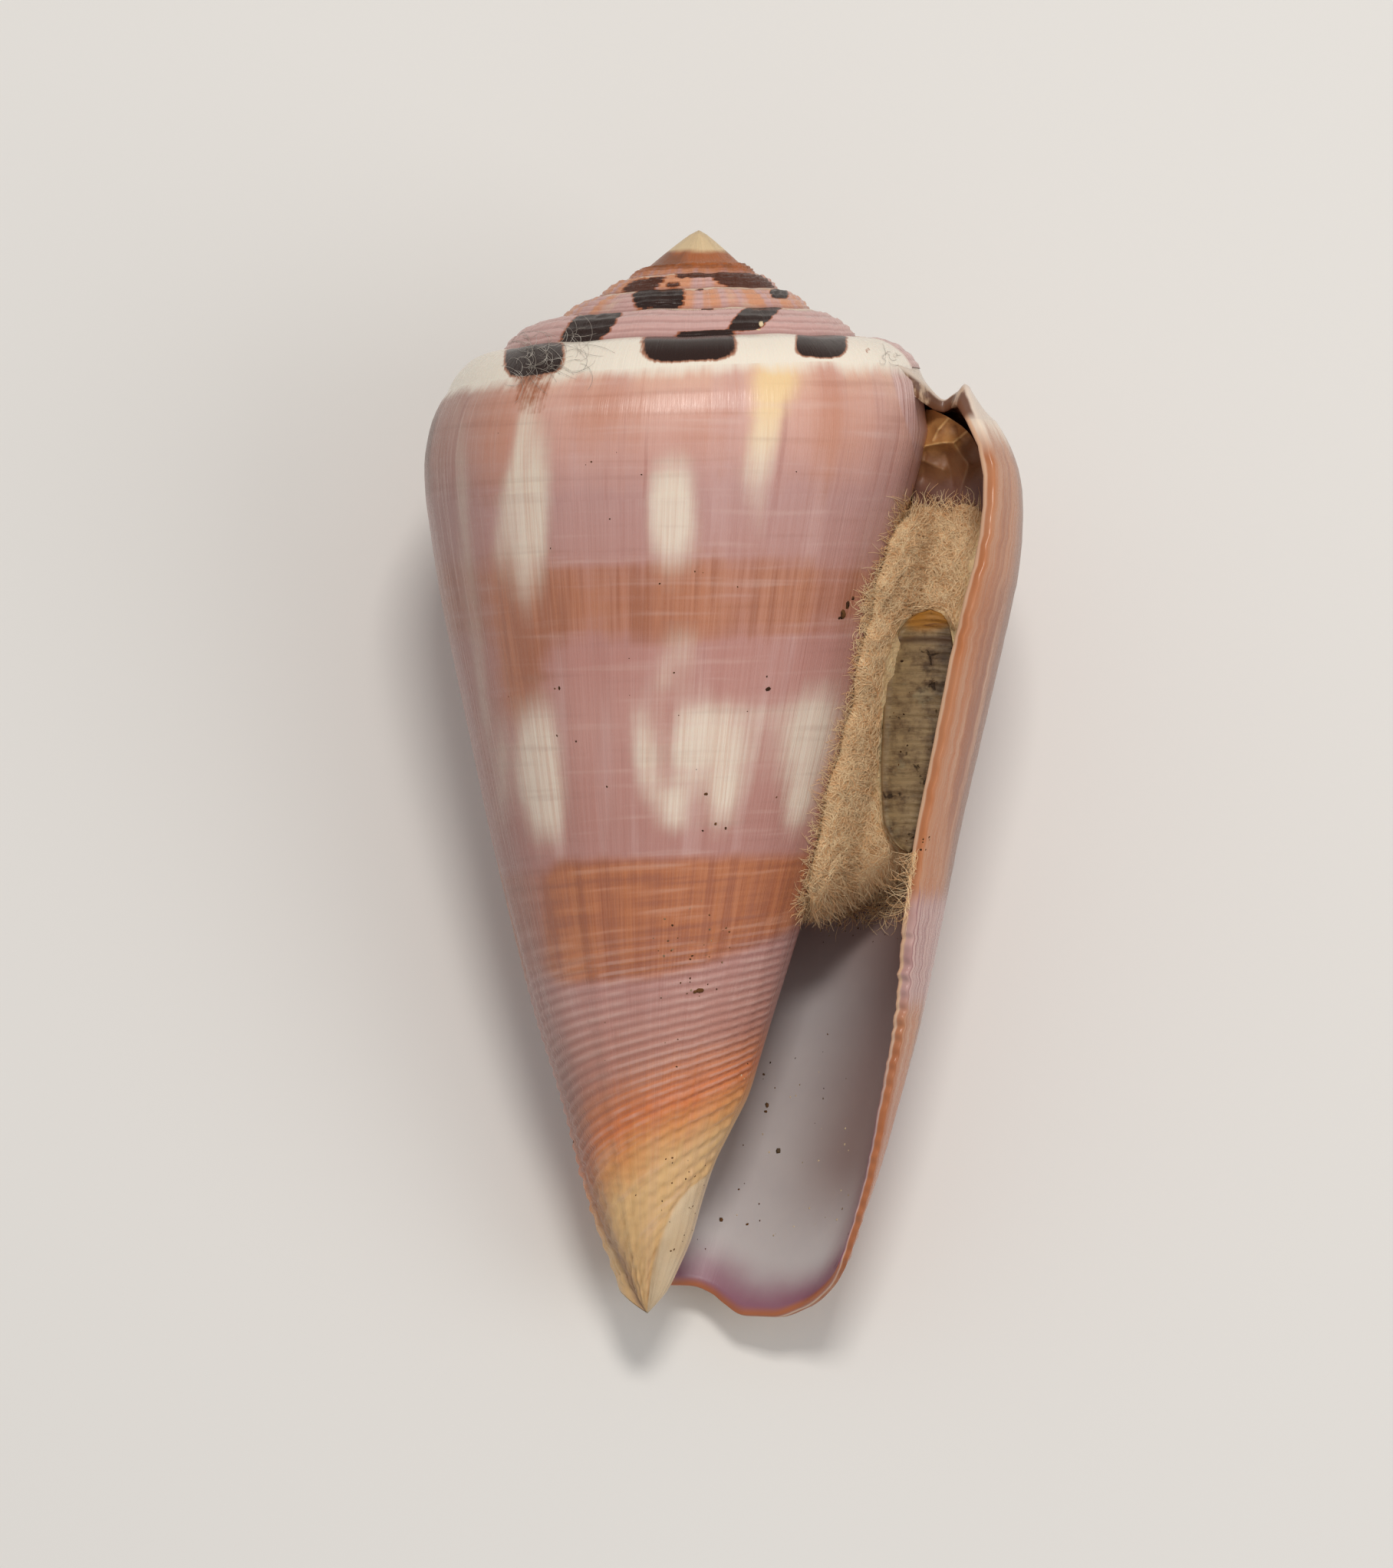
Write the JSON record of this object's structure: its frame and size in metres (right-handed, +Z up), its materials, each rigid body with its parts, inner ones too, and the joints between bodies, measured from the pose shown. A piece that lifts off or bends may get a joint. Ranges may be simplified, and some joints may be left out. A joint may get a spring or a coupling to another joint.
{
  "type": "gauguins cone shell",
  "caption": "Cone shell lying on its back, with low spire, long body whorl and open aperture holding a cotton wad, the horny operculum and a folded slip.",
  "frame": {"origin": "middle of the shell's footprint, on the surface that it lies on", "axes": "+Y toward the apex, +X toward the outer lip, +Z up, out of the aperture"},
  "size_m": [0.0396, 0.0704, 0.0366],
  "materials": {
    "shell": "semi-gloss",
    "cotton": "matte",
    "horn": "satin",
    "paper": "satin"
  },
  "bodies": {
    "root": {"shell": "shell", "cotton_wad": "cotton", "operculum": "horn", "paper_slip": "paper"}
  },
  "joints": []
}
